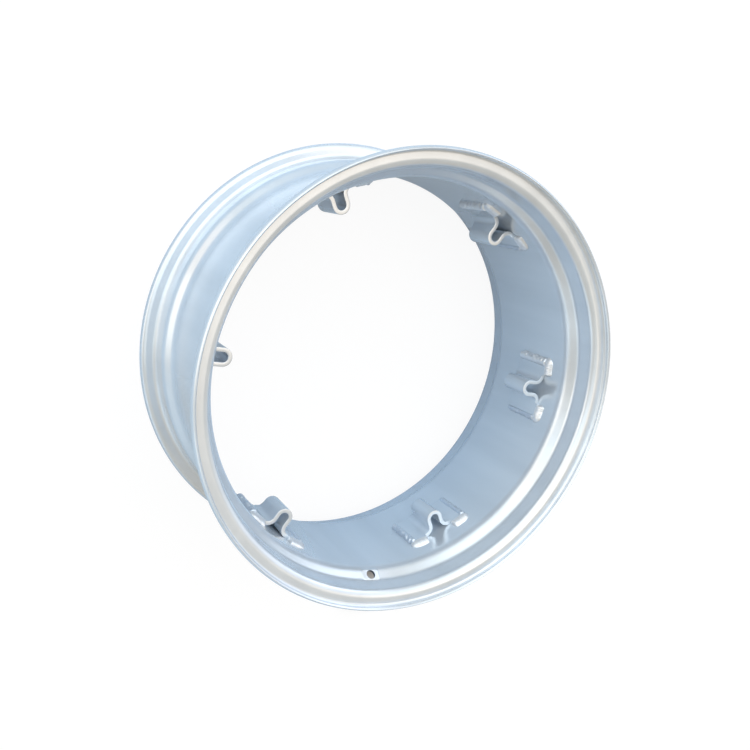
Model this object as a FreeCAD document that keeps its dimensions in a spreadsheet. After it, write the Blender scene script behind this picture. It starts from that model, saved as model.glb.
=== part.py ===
"""Tractor wheel rim with six welded bolt loops, in millimetres.

The rim is one rolled and welded steel hoop: a shallow well between two tapered bead seats, each
ending in a flange whose edge is curled over. Six loops, each bent from a shaped steel blank, stand on
the inside of the well. Every foot of a loop is held by a fillet weld along its front edge and by
another along its outer end. The valve hole goes through a flat pad pressed into the upper slope.

+Z is the wheel's axis, towards the side with the valve. The origin is the hoop's centre, at the
middle of its width. +X runs through the middle of the first loop, and the valve is towards -Y.
"""

import FreeCAD, Part
import math
import os

import Sketcher
from FreeCAD import Placement, Rotation, Vector

# Driving sizes: alias, value, what it is
SIZES = [
    ("flange_gap", 304.8, "width between the two flange faces"),
    ("bead_seat_diameter", 711.2, "where the bead seat meets the flange face"),
    ("flange_height", 25.4, "from the bead seat to the crest of the flange"),
    ("sheet_thickness", 5.0, "rim sheet"),
    ("curl_radius", 10.0, "flange curl, tyre side"),
    ("curl_overrun", 55.0, "degrees that the curl goes on past its crest"),
    ("heel_radius", 8.0, "between bead seat and flange, tyre side"),
    ("seat_width", 34.0, "from the flange face to the shoulder"),
    ("seat_taper", 5.0, "degrees"),
    ("slope_angle", 40.0, "degrees between the slope and the wheel's axis"),
    ("shoulder_radius", 12.0, "between bead seat and slope, tyre side"),
    ("well_depth", 18.6, "from the bead seat diameter down to the well"),
    ("well_corner_radius", 8.0, "between slope and well, tyre side"),
    ("valve_hole_diameter", 15.8, "hole for the valve stem"),
    ("pad_length", 31.0, "flat pad around the valve hole, round the rim"),
    ("pad_height", 18.0, "flat pad, up the slope"),
    ("pad_corner_radius", 4.0, "corners of the flat pad"),
    ("pad_step", 1.5, "how far the pad stands in from the slope"),
    ("pad_draft", 50.0, "degrees that the pad's sides lean"),
    ("loop_thickness", 7.0, "strip that the loops are bent from"),
    ("eye_diameter", 16.6, "room for the clamping bolt"),
    ("eye_depth", 29.0, "from the inside of the well in to a bolt's centre"),
    ("loop_bend_radius", 10.0, "inside radius where a leg turns into its foot"),
    ("loop_span", 106.2, "from one foot's end to the other's, measured straight"),
    ("loop_front", 56.4, "height of the feet's front edges above the rim's middle"),
    ("foot_length", 80.0, "loop measured along the axis at its feet"),
    ("crown_length", 61.0, "loop measured along the axis at its crown"),
    ("crown_setback", 6.6, "how far the crown's front edge stands back from the feet's"),
    ("notch_span", 56.0, "width of that step, measured straight"),
    ("flare_reach", 17.0, "from a bolt's centre out to where the legs reach full length"),
    ("front_weld_leg", 10.5, "front fillet weld, along the axis"),
    ("end_weld_leg", 8.5, "end fillet weld, round the rim"),
    ("weld_drop", 0.6, "how far a weld's top edge stays below the foot's upper face"),
    ("weld_face_radius", 14.0, "swelling of a weld's face"),
]
# Sizes that the sheet works out from the driving ones: alias, formula, what it is
DRIVEN = [
    (
        "eye_circle_diameter",
        "bead_seat_diameter - 2 * (well_depth + sheet_thickness + eye_depth)",
        "circle through the six bolt centres",
    ),
    (
        "flare_end_radius",
        "eye_circle_diameter / 2 + flare_reach",
        "distance from the axis where the legs reach full length",
    ),
]
LOOP_COUNT = 6
FULL_TURN = 360.0

doc = FreeCAD.newDocument("wheel_rim")
sheet = doc.addObject("Spreadsheet::Sheet", "sizes")
cells = [(alias, repr(value), note) for alias, value, note in SIZES]
cells += [(alias, f"={formula}", note) for alias, formula, note in DRIVEN]
for row, (alias, content, note) in enumerate(cells, start=1):
    sheet.set(f"A{row}", alias)
    sheet.set(f"B{row}", content)
    sheet.set(f"C{row}", note)
    sheet.setAlias(f"B{row}", alias)
doc.recompute()
size = {alias: sheet.get(alias) for alias, _, _ in cells}

# Expressions for sizes that follow from the driving ones
BEAD_RADIUS = "sizes.bead_seat_diameter / 2"
CREST_RADIUS = f"({BEAD_RADIUS} + sizes.flange_height)"
WELL_RADIUS = f"({BEAD_RADIUS} - sizes.well_depth)"
WELL_INSIDE = f"({WELL_RADIUS} - sizes.sheet_thickness)"
SHOULDER_CORNER = f"({BEAD_RADIUS} - sizes.seat_width * tan(sizes.seat_taper))"
PAD_FROM_AXIS = f"({SHOULDER_CORNER} + {WELL_RADIUS}) / 2"
PAD_DROP = f"({SHOULDER_CORNER} - {WELL_RADIUS}) / 2 / tan(sizes.slope_angle)"
PAD_LEVEL = f"sizes.flange_gap / 2 - sizes.seat_width - {PAD_DROP}"
LEG_OUTSIDE = "sizes.eye_diameter / 2 + sizes.loop_thickness"
FOOT_TOP = f"({WELL_INSIDE} - sizes.loop_thickness)"
FOOT_START = f"asin(({LEG_OUTSIDE} + sizes.loop_bend_radius) / ({FOOT_TOP} - sizes.loop_bend_radius))"
FOOT_END = f"asin(sizes.loop_span / 2 / {WELL_INSIDE})"
NOTCH_END = f"asin(sizes.notch_span / 2 / {WELL_INSIDE})"
CROWN_FRONT = "(sizes.loop_front - sizes.crown_setback)"
WELD_HEIGHT = "sizes.loop_thickness - sizes.weld_drop"
WELD_END = f"({FOOT_END} + 2 * asin(sizes.end_weld_leg / 2 / {WELL_INSIDE}))"

# The same ones as numbers, for the first drawing of each sketch
bead_radius = size["bead_seat_diameter"] / 2
crest_radius = bead_radius + size["flange_height"]
well_radius = bead_radius - size["well_depth"]
well_inside = well_radius - size["sheet_thickness"]
eye_radius = size["eye_diameter"] / 2
leg_outside = eye_radius + size["loop_thickness"]
foot_top = well_inside - size["loop_thickness"]
bend_side = leg_outside + size["loop_bend_radius"]
foot_start = math.degrees(math.asin(bend_side / (foot_top - size["loop_bend_radius"])))
foot_end = math.degrees(math.asin(size["loop_span"] / 2 / well_inside))
notch_end = math.degrees(math.asin(size["notch_span"] / 2 / well_inside))
crown_front = size["loop_front"] - size["crown_setback"]
weld_height = size["loop_thickness"] - size["weld_drop"]
weld_spread = math.degrees(2 * math.asin(size["end_weld_leg"] / 2 / well_inside))

# Sketcher's numbers for the ends and the centre of a curve, and for the sketch's own point and axes
START, END, CENTRE = range(1, 4)
X_AXIS, Y_AXIS = range(-1, -3, -1)
ORIGIN = X_AXIS


def new_body(label):
    body = doc.addObject("PartDesign::Body", label)
    body.Label = label
    return body


def origin_plane(body, role):
    """The body's own origin plane with this role, such as XY_Plane."""
    return next(feature for feature in body.Origin.OriginFeatures if feature.Role == role)


def new_sketch(body, name, role):
    sketch = body.newObject("Sketcher::SketchObject", name)
    sketch.AttachmentSupport = [(origin_plane(body, role), "")]
    sketch.MapMode = "FlatFace"
    return sketch


def polar(radius, degrees, centre=Vector()):
    angle = math.radians(degrees)
    return centre + Vector(radius * math.cos(angle), radius * math.sin(angle), 0)


def add_line(sketch, start, end):
    return sketch.addGeometry(Part.LineSegment(start, end), False)


def add_arc(sketch, centre, radius, first, last):
    """An arc drawn anticlockwise from the first angle to the last, in degrees."""
    circle = Part.Circle(centre, Vector(0, 0, 1), radius)
    return sketch.addGeometry(Part.ArcOfCircle(circle, math.radians(first), math.radians(last)), False)


def add_bulge(sketch, start, end, radius):
    """A shallow arc between two points, which swells to the right of the way from start to end."""
    chord = end - start
    rise = math.sqrt(radius**2 - (chord.Length / 2) ** 2)
    left = Vector(-chord.y, chord.x, 0).normalize()
    centre = (start + end) / 2 + left * rise
    first = math.degrees(math.atan2(start.y - centre.y, start.x - centre.x))
    last = math.degrees(math.atan2(end.y - centre.y, end.x - centre.x))
    return add_arc(sketch, centre, radius, first, last if last > first else last + FULL_TURN)


def join(sketch, *pairs):
    """Tangent joints between neighbours, each given as ((curve, end), (curve, end))."""
    for (one, one_end), (two, two_end) in pairs:
        sketch.addConstraint(Sketcher.Constraint("Tangent", one, one_end, two, two_end))


def meet(sketch, *pairs):
    """Plain corners and shared centres, each given as ((curve, end), (curve, end))."""
    for (one, one_end), (two, two_end) in pairs:
        sketch.addConstraint(Sketcher.Constraint("Coincident", one, one_end, two, two_end))


def put_on(sketch, curve, end, line):
    sketch.addConstraint(Sketcher.Constraint("PointOnObject", curve, end, line))


def dimension(sketch, expression, kind, *where):
    """A dimension bound to the sheet. The last item is its value in the first drawing."""
    index = sketch.addConstraint(Sketcher.Constraint(kind, *where))
    sketch.setExpression(f"Constraints[{index}]", expression)


def draw_rim_section(sketch):
    """Half of the rim's section, from the middle of the well out to the curled edge.

    In the sketch x is the radius and y the distance from the rim's middle. The wheel side's arcs
    share the tyre side's centres, so the sheet keeps its thickness all the way.
    """
    half_gap = size["flange_gap"] / 2
    taper, slope = size["seat_taper"], size["slope_angle"]
    shoulder, corner = size["shoulder_radius"], size["well_corner_radius"]
    curl, heel = size["curl_radius"], size["heel_radius"]
    seat_out = Vector(math.sin(math.radians(taper)), math.cos(math.radians(taper)), 0)
    seat_tyre = Vector(seat_out.y, -seat_out.x, 0)

    # sharp corners of the tyre side, and the arc centres that follow from them
    seat_corner = Vector(bead_radius, half_gap, 0)
    shoulder_corner = seat_corner - seat_out * (size["seat_width"] / seat_out.y)
    well_corner_height = shoulder_corner.y - (shoulder_corner.x - well_radius) / math.tan(math.radians(slope))
    well_reach = corner * math.tan(math.radians(slope / 2))
    shoulder_reach = shoulder * math.tan(math.radians((slope - taper) / 2))
    heel_start = seat_corner - seat_out * (heel * math.tan(math.radians((90 - taper) / 2)))
    shapes = {
        "well arc": (Vector(well_radius + corner, well_corner_height - well_reach, 0), 180 - slope, 180),
        "shoulder arc": (shoulder_corner + seat_out * shoulder_reach - seat_tyre * shoulder, -slope, -taper),
        "heel arc": (heel_start + seat_tyre * heel, 90, 180 - taper),
        "curl arc": (Vector(crest_radius - curl, half_gap + curl, 0), -90, size["curl_overrun"]),
    }
    bends = {
        "well arc": ("well_corner_radius", 1),
        "shoulder arc": ("shoulder_radius", -1),
        "heel arc": ("heel_radius", 1),
        "curl arc": ("curl_radius", -1),
    }

    def draw_side(offset):
        curves, ends = {}, {}
        for name, (centre, first, last) in shapes.items():
            alias, sign = bends[name]
            radius = size[alias] + sign * offset
            curves[name] = add_arc(sketch, centre, radius, first, last)
            ends[name] = (polar(radius, first, centre), polar(radius, last, centre))
        curves["well"] = add_line(sketch, Vector(well_radius - offset, 0, 0), ends["well arc"][1])
        curves["slope"] = add_line(sketch, ends["well arc"][0], ends["shoulder arc"][0])
        curves["seat"] = add_line(sketch, ends["shoulder arc"][1], ends["heel arc"][1])
        curves["wall"] = add_line(sketch, ends["heel arc"][0], ends["curl arc"][0])
        join(
            sketch,
            ((curves["well"], END), (curves["well arc"], END)),
            ((curves["well arc"], START), (curves["slope"], START)),
            ((curves["slope"], END), (curves["shoulder arc"], START)),
            ((curves["shoulder arc"], END), (curves["seat"], START)),
            ((curves["seat"], END), (curves["heel arc"], END)),
            ((curves["heel arc"], START), (curves["wall"], START)),
            ((curves["wall"], END), (curves["curl arc"], START)),
        )
        sketch.addConstraint(Sketcher.Constraint("Vertical", curves["well"]))
        put_on(sketch, curves["well"], START, X_AXIS)
        return curves

    tyre = draw_side(0)
    wheel = draw_side(size["sheet_thickness"])
    for name, (alias, sign) in bends.items():
        meet(sketch, ((wheel[name], CENTRE), (tyre[name], CENTRE)))
        dimension(sketch, f"sizes.{alias}", "Radius", tyre[name], size[alias])
        change = "+" if sign > 0 else "-"
        wheel_radius = size[alias] + sign * size["sheet_thickness"]
        dimension(sketch, f"sizes.{alias} {change} sizes.sheet_thickness", "Radius", wheel[name], wheel_radius)

    # the sheet's cut edge, square to the curl, and the middle of the well
    overrun = size["curl_overrun"]
    curl_centre = shapes["curl arc"][0]
    edge = [polar(radius, overrun, curl_centre) for radius in (curl, curl - size["sheet_thickness"])]
    cut_edge = add_line(sketch, *edge)
    middle = add_line(sketch, Vector(well_inside, 0, 0), Vector(well_radius, 0, 0))
    meet(
        sketch,
        ((cut_edge, START), (tyre["curl arc"], END)),
        ((cut_edge, END), (wheel["curl arc"], END)),
        ((middle, START), (wheel["well"], START)),
        ((middle, END), (tyre["well"], START)),
    )
    put_on(sketch, tyre["curl arc"], CENTRE, cut_edge)

    # the sizes that place the tyre side
    sketch.addConstraint(Sketcher.Constraint("Horizontal", tyre["wall"]))
    dimension(sketch, WELL_RADIUS, "DistanceX", ORIGIN, START, tyre["well"], START, well_radius)
    dimension(sketch, "sizes.flange_gap / 2", "DistanceY", ORIGIN, START, tyre["wall"], END, half_gap)
    curl_at = (ORIGIN, START, tyre["curl arc"], CENTRE, curl_centre.x)
    dimension(sketch, f"{CREST_RADIUS} - sizes.curl_radius", "DistanceX", *curl_at)
    for name, alias in (("seat", "seat_taper"), ("slope", "slope_angle")):
        leaning = (tyre[name], START, Y_AXIS, START, math.radians(size[alias]))
        dimension(sketch, f"sizes.{alias}", "Angle", *leaning)
    dimension(sketch, "sizes.curl_overrun", "Angle", X_AXIS, START, cut_edge, END, math.radians(overrun))
    heel_point = sketch.addGeometry(Part.Point(seat_corner), True)
    put_on(sketch, heel_point, START, tyre["seat"])
    put_on(sketch, heel_point, START, tyre["wall"])
    dimension(sketch, BEAD_RADIUS, "DistanceX", ORIGIN, START, heel_point, START, bead_radius)
    shoulder_point = sketch.addGeometry(Part.Point(shoulder_corner), True)
    put_on(sketch, shoulder_point, START, tyre["seat"])
    put_on(sketch, shoulder_point, START, tyre["slope"])
    shoulder_at = (ORIGIN, START, shoulder_point, START, shoulder_corner.y)
    dimension(sketch, "sizes.flange_gap / 2 - sizes.seat_width", "DistanceY", *shoulder_at)


def lay_on_slope(sketch, depth):
    """Lay a sketch on the slope at -Y, this far in from its tyre side. It faces the wheel's axis."""
    lean = 90 - size["slope_angle"]
    sketch.AttachmentOffset = Placement(Vector(), Rotation(Vector(-1, 0, 0), lean))
    sketch.setExpression("AttachmentOffset.Rotation.Angle", "90 - sizes.slope_angle")
    sketch.setExpression("AttachmentOffset.Base.y", f"({depth}) * cos(sizes.slope_angle) - {PAD_FROM_AXIS}")
    sketch.setExpression("AttachmentOffset.Base.z", f"{PAD_LEVEL} + ({depth}) * sin(sizes.slope_angle)")


def draw_pad_outline(sketch):
    """A rounded rectangle about the sketch's middle."""
    x, y = size["pad_length"] / 2, size["pad_height"] / 2
    radius = size["pad_corner_radius"]
    corners = []
    for quarter, (across, up) in enumerate(((1, 1), (-1, 1), (-1, -1), (1, -1))):
        centre = Vector(across * (x - radius), up * (y - radius), 0)
        corners.append(add_arc(sketch, centre, radius, 90 * quarter, 90 * quarter + 90))
    top = add_line(sketch, Vector(x - radius, y, 0), Vector(radius - x, y, 0))
    left = add_line(sketch, Vector(-x, y - radius, 0), Vector(-x, radius - y, 0))
    bottom = add_line(sketch, Vector(radius - x, -y, 0), Vector(x - radius, -y, 0))
    right = add_line(sketch, Vector(x, radius - y, 0), Vector(x, y - radius, 0))
    for corner, before, after in zip(corners, (right, top, left, bottom), (top, left, bottom, right)):
        join(sketch, ((before, END), (corner, START)), ((corner, END), (after, START)))
    for line, way in ((top, "Horizontal"), (bottom, "Horizontal"), (left, "Vertical"), (right, "Vertical")):
        sketch.addConstraint(Sketcher.Constraint(way, line))
    for corner in corners[1:]:
        sketch.addConstraint(Sketcher.Constraint("Equal", corners[0], corner))
    opposite = (corners[0], CENTRE, corners[2], CENTRE, ORIGIN, START)
    sketch.addConstraint(Sketcher.Constraint("Symmetric", *opposite))
    dimension(sketch, "sizes.pad_corner_radius", "Radius", corners[0], radius)
    dimension(sketch, "sizes.pad_length", "DistanceX", left, START, right, START, size["pad_length"])
    dimension(sketch, "sizes.pad_height", "DistanceY", bottom, START, top, START, size["pad_height"])


def make_rim():
    body = new_body("rim")
    section = new_sketch(body, "rim_section", "XZ_Plane")
    draw_rim_section(section)
    half = body.newObject("PartDesign::Revolution", "half_hoop")
    half.Profile = section
    half.ReferenceAxis = (section, ["V_Axis"])
    half.Angle = FULL_TURN
    whole = body.newObject("PartDesign::Mirrored", "whole_hoop")
    whole.Originals = [half]
    whole.MirrorPlane = (origin_plane(body, "XY_Plane"), [""])
    body.Tip = whole
    doc.recompute()

    # the valve pad is pressed through the sheet: it stands in on one side and leaves a dent on the other
    pad_top = new_sketch(body, "valve_pad_top", "XY_Plane")
    lay_on_slope(pad_top, "sizes.sheet_thickness + sizes.pad_step")
    draw_pad_outline(pad_top)
    pad = body.newObject("PartDesign::Pad", "valve_pad")
    pad.Profile = pad_top
    pad.Reversed = True
    pad.setExpression("Length", "sizes.sheet_thickness / 2 + sizes.pad_step")
    pad.setExpression("TaperAngle", "sizes.pad_draft")
    doc.recompute()
    dent_floor = new_sketch(body, "valve_dent_floor", "XY_Plane")
    lay_on_slope(dent_floor, "sizes.pad_step")
    draw_pad_outline(dent_floor)
    dent = body.newObject("PartDesign::Pocket", "valve_dent")
    dent.Profile = dent_floor
    dent.setExpression("Length", "sizes.pad_step * 2")
    dent.setExpression("TaperAngle", "sizes.pad_draft")
    doc.recompute()
    hole_outline = new_sketch(body, "valve_hole_outline", "XY_Plane")
    lay_on_slope(hole_outline, "sizes.sheet_thickness + sizes.pad_step * 2")
    circle = hole_outline.addGeometry(Part.Circle(Vector(), Vector(0, 0, 1), size["valve_hole_diameter"] / 2))
    meet(hole_outline, ((circle, CENTRE), (ORIGIN, START)))
    dimension(hole_outline, "sizes.valve_hole_diameter", "Diameter", circle, size["valve_hole_diameter"])
    hole = body.newObject("PartDesign::Pocket", "valve_hole")
    hole.Profile = hole_outline
    hole.setExpression("Length", "(sizes.sheet_thickness + sizes.pad_step) * 2")
    doc.recompute()
    return body


def draw_loop_section(sketch):
    """One half of a loop's section: half the crown, a leg, the bend and the foot on the well."""
    centre = Vector(size["eye_circle_diameter"] / 2, 0, 0)
    bend = size["loop_bend_radius"]
    bend_outside = bend + size["loop_thickness"]
    bend_centre = polar(foot_top - bend, foot_start)
    crown = {radius: add_arc(sketch, centre, radius, 90, 180) for radius in (eye_radius, leg_outside)}
    foot = {radius: add_arc(sketch, Vector(), radius, foot_start, foot_end) for radius in (well_inside, foot_top)}
    turn = {radius: add_arc(sketch, bend_centre, radius, 270, 360 + foot_start) for radius in (bend_outside, bend)}
    leg = {
        side: add_line(sketch, Vector(centre.x, side, 0), Vector(bend_centre.x, side, 0))
        for side in (eye_radius, leg_outside)
    }
    tip = add_line(sketch, polar(foot_top, foot_end), polar(well_inside, foot_end))
    middle = add_line(sketch, Vector(centre.x - leg_outside, 0, 0), Vector(centre.x - eye_radius, 0, 0))
    faces = ((eye_radius, bend_outside, well_inside), (leg_outside, bend, foot_top))
    for side, bend_size, foot_size in faces:
        join(
            sketch,
            ((crown[side], START), (leg[side], START)),
            ((leg[side], END), (turn[bend_size], START)),
            ((turn[bend_size], END), (foot[foot_size], START)),
        )
        meet(sketch, ((foot[foot_size], CENTRE), (ORIGIN, START)))
        put_on(sketch, crown[side], END, X_AXIS)
    meet(
        sketch,
        ((crown[eye_radius], CENTRE), (crown[leg_outside], CENTRE)),
        ((turn[bend], CENTRE), (turn[bend_outside], CENTRE)),
        ((tip, START), (foot[foot_top], END)),
        ((tip, END), (foot[well_inside], END)),
        ((middle, START), (crown[leg_outside], END)),
        ((middle, END), (crown[eye_radius], END)),
    )
    put_on(sketch, crown[eye_radius], CENTRE, X_AXIS)
    put_on(sketch, ORIGIN, START, tip)
    sketch.addConstraint(Sketcher.Constraint("Horizontal", leg[eye_radius]))
    dimension(sketch, "sizes.eye_diameter / 2", "Radius", crown[eye_radius], eye_radius)
    dimension(sketch, LEG_OUTSIDE, "Radius", crown[leg_outside], leg_outside)
    dimension(sketch, "sizes.loop_bend_radius", "Radius", turn[bend], bend)
    dimension(sketch, WELL_INSIDE, "Radius", foot[well_inside], well_inside)
    dimension(sketch, FOOT_TOP, "Radius", foot[foot_top], foot_top)
    eye_at = (ORIGIN, START, crown[eye_radius], CENTRE, centre.x)
    dimension(sketch, "sizes.eye_circle_diameter / 2", "DistanceX", *eye_at)
    dimension(sketch, "sizes.loop_span / 2", "DistanceY", ORIGIN, START, tip, END, size["loop_span"] / 2)


def draw_loop_trim(sketch):
    """What is cut off the blank behind the crown and the legs. Here y is the height along the axis."""
    crown_back = crown_front - size["crown_length"]
    foot_back = size["loop_front"] - size["foot_length"]
    start, end = size["eye_circle_diameter"] / 2, size["flare_end_radius"]
    clear = start - 2 * leg_outside
    fall = crown_back - foot_back
    radius = ((end - start) ** 2 + fall**2) / (2 * fall)
    turn = math.degrees(math.acos(1 - fall / radius))
    bottom = foot_back - fall
    back = add_line(sketch, Vector(clear, crown_back, 0), Vector(start, crown_back, 0))
    flare = add_arc(sketch, Vector(start, crown_back - radius, 0), radius, 90 - turn, 90)
    down = add_line(sketch, Vector(end, foot_back, 0), Vector(end, bottom, 0))
    under = add_line(sketch, Vector(end, bottom, 0), Vector(clear, bottom, 0))
    up = add_line(sketch, Vector(clear, bottom, 0), Vector(clear, crown_back, 0))
    join(sketch, ((back, END), (flare, END)))
    meet(
        sketch,
        ((flare, START), (down, START)),
        ((down, END), (under, START)),
        ((under, END), (up, START)),
        ((up, END), (back, START)),
    )
    for line, way in ((back, "Horizontal"), (under, "Horizontal"), (down, "Vertical"), (up, "Vertical")):
        sketch.addConstraint(Sketcher.Constraint(way, line))
    eye_at = "sizes.eye_circle_diameter / 2"
    dimension(sketch, eye_at, "DistanceX", ORIGIN, START, back, END, start)
    dimension(sketch, f"{eye_at} - 2 * ({LEG_OUTSIDE})", "DistanceX", ORIGIN, START, back, START, clear)
    dimension(sketch, "sizes.flare_end_radius", "DistanceX", ORIGIN, START, down, START, end)
    back_at, foot_at = f"{CROWN_FRONT} - sizes.crown_length", "sizes.loop_front - sizes.foot_length"
    dimension(sketch, back_at, "DistanceY", ORIGIN, START, back, END, crown_back)
    dimension(sketch, foot_at, "DistanceY", ORIGIN, START, down, START, foot_back)
    dimension(sketch, f"{back_at} - ({foot_at})", "DistanceY", down, END, down, START, fall)


def draw_loop_notch(sketch):
    """What is cut off the front between the feet. Here x is across the loop and y is up the axis."""
    side, height = size["notch_span"] / 2, 2 * size["crown_setback"]
    low_left, low_right = Vector(-side, crown_front, 0), Vector(side, crown_front, 0)
    high_left, high_right = low_left + Vector(0, height, 0), low_right + Vector(0, height, 0)
    corners = (low_left, low_right, high_right, high_left)
    lines = [add_line(sketch, one, two) for one, two in zip(corners, corners[1:] + corners[:1])]
    meet(sketch, *(((one, END), (two, START)) for one, two in zip(lines, lines[1:] + lines[:1])))
    bottom, right, top, left = lines
    for line, way in ((right, "Vertical"), (top, "Horizontal"), (left, "Vertical")):
        sketch.addConstraint(Sketcher.Constraint(way, line))
    sketch.addConstraint(Sketcher.Constraint("Symmetric", bottom, START, bottom, END, Y_AXIS))
    dimension(sketch, "sizes.notch_span", "DistanceX", bottom, START, bottom, END, 2 * side)
    dimension(sketch, CROWN_FRONT, "DistanceY", ORIGIN, START, bottom, END, crown_front)
    dimension(sketch, "2 * sizes.crown_setback", "DistanceY", right, START, right, END, height)


def make_loop(label, turn):
    body = new_body(label)
    section = new_sketch(body, f"{label}_section", "XY_Plane")
    section.setExpression("AttachmentOffset.Base.z", "sizes.loop_front")
    draw_loop_section(section)
    half = body.newObject("PartDesign::Pad", f"{label}_half")
    half.Profile = section
    half.Reversed = True
    half.setExpression("Length", "sizes.foot_length")
    whole = body.newObject("PartDesign::Mirrored", f"{label}_whole")
    whole.Originals = [half]
    whole.MirrorPlane = (origin_plane(body, "XZ_Plane"), [""])
    body.Tip = whole
    doc.recompute()
    for cut, role, draw in (("trim", "XZ_Plane", draw_loop_trim), ("notch", "YZ_Plane", draw_loop_notch)):
        outline = new_sketch(body, f"{label}_{cut}_outline", role)
        draw(outline)
        pocket = body.newObject("PartDesign::Pocket", f"{label}_{cut}")
        pocket.Profile = outline
        pocket.Type = "ThroughAll"
        pocket.Midplane = True
        doc.recompute()
    body.Placement = Placement(Vector(), Rotation(Vector(0, 0, 1), turn))
    return body


def make_front_weld(label, turn, side):
    """The fillet along a foot's front edge, from the notch out past the end weld.

    It is drawn at +X and turned round the wheel's axis to its place.
    """
    body = new_body(label)
    section = new_sketch(body, f"{label}_section", "XZ_Plane")
    root = Vector(well_inside, size["loop_front"], 0)
    far = root + Vector(0, size["front_weld_leg"], 0)
    top = root - Vector(weld_height, 0, 0)
    on_well = add_line(section, root, far)
    on_foot = add_line(section, top, root)
    face = add_bulge(section, far, top, size["weld_face_radius"])
    meet(
        section,
        ((on_foot, END), (on_well, START)),
        ((face, START), (on_well, END)),
        ((face, END), (on_foot, START)),
    )
    section.addConstraint(Sketcher.Constraint("Vertical", on_well))
    section.addConstraint(Sketcher.Constraint("Horizontal", on_foot))
    dimension(section, WELL_INSIDE, "DistanceX", ORIGIN, START, on_well, START, root.x)
    dimension(section, "sizes.loop_front", "DistanceY", ORIGIN, START, on_well, START, root.y)
    dimension(section, "sizes.front_weld_leg", "Distance", on_well, size["front_weld_leg"])
    dimension(section, WELD_HEIGHT, "Distance", on_foot, weld_height)
    dimension(section, "sizes.weld_face_radius", "Radius", face, size["weld_face_radius"])
    bead = body.newObject("PartDesign::Revolution", f"{label}_bead")
    bead.Profile = section
    bead.ReferenceAxis = (section, ["V_Axis"])
    bead.Midplane = True
    bead.setExpression("Angle", f"{WELD_END} - {NOTCH_END}")
    middle = (notch_end + foot_end + weld_spread) / 2
    base = turn if side > 0 else (turn or FULL_TURN)
    body.Placement = Placement(Vector(), Rotation(Vector(0, 0, 1), base + side * middle))
    way = "+" if side > 0 else "-"
    body.setExpression("Placement.Rotation.Angle", f"{base} deg {way} ({NOTCH_END} + {WELD_END}) / 2")
    return body


def make_end_weld(label, turn, side):
    """The fillet along a foot's outer end, as long as the foot."""
    body = new_body(label)
    section = new_sketch(body, f"{label}_section", "XY_Plane")
    section.setExpression("AttachmentOffset.Base.z", "sizes.loop_front")
    weld_end = side * (foot_end + weld_spread)
    root = polar(well_inside, side * foot_end)
    far = polar(well_inside, weld_end)
    top = polar(well_inside - weld_height, side * foot_end)
    on_well = add_arc(section, Vector(), well_inside, *sorted((side * foot_end, weld_end)))
    on_foot = add_line(section, top, root)
    face = add_bulge(section, *(far, top)[::side], size["weld_face_radius"])
    low, high = (START, END)[::side]
    meet(
        section,
        ((on_well, CENTRE), (ORIGIN, START)),
        ((on_well, low), (on_foot, END)),
        ((on_well, high), (face, low)),
        ((on_foot, START), (face, high)),
    )
    put_on(section, ORIGIN, START, on_foot)
    dimension(section, WELL_INSIDE, "Radius", on_well, well_inside)
    dimension(section, WELD_HEIGHT, "Distance", on_foot, weld_height)
    lower, upper = ((ORIGIN, START), (on_foot, END))[::side]
    dimension(section, "sizes.loop_span / 2", "DistanceY", *lower, *upper, size["loop_span"] / 2)
    chord = (on_well, START, on_well, END, size["end_weld_leg"])
    dimension(section, "sizes.end_weld_leg", "Distance", *chord)
    dimension(section, "sizes.weld_face_radius", "Radius", face, size["weld_face_radius"])
    bead = body.newObject("PartDesign::Pad", f"{label}_bead")
    bead.Profile = section
    bead.Reversed = True
    bead.setExpression("Length", "sizes.foot_length")
    body.Placement = Placement(Vector(), Rotation(Vector(0, 0, 1), turn))
    return body


bodies = [make_rim()]
for number in range(LOOP_COUNT):
    turn = number * FULL_TURN / LOOP_COUNT
    bodies.append(make_loop(f"loop_{number + 1}", turn))
    for letter, side in (("a", 1), ("b", -1)):
        bodies.append(make_front_weld(f"front_weld_{number + 1}{letter}", turn, side))
        bodies.append(make_end_weld(f"end_weld_{number + 1}{letter}", turn, side))
doc.recompute()

for feature in doc.Objects:
    if "Invalid" in feature.State or "Error" in feature.State:
        raise RuntimeError(f"{feature.Label} did not build")
os.makedirs("parts", exist_ok=True)
for body in bodies:
    if body.Shape.isNull() or not body.Shape.isValid() or len(body.Shape.Solids) != 1:
        raise RuntimeError(f"{body.Label} is not one sound solid")
    body.Shape.exportStep(f"parts/{body.Label}.step")
    print(f"{body.Label}: {body.Shape.Volume / 1000:.1f} cm3")
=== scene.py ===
"""The look of a silver tractor wheel rim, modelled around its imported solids.

The rim, its six bolt loops and their weld beads replace the plain solids with the same forms, in finer
meshes with rounded edges, rippled beads and spatter. Everything is in metres, in the part's own frame:
+Z is the wheel's axis, +X runs through the first loop, and the valve is towards -Y.
"""

import math
import random

import bmesh
import bpy
from bpy.props import FloatProperty, FloatVectorProperty, IntProperty, PointerProperty
from mathutils import Matrix, Vector, noise


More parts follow.
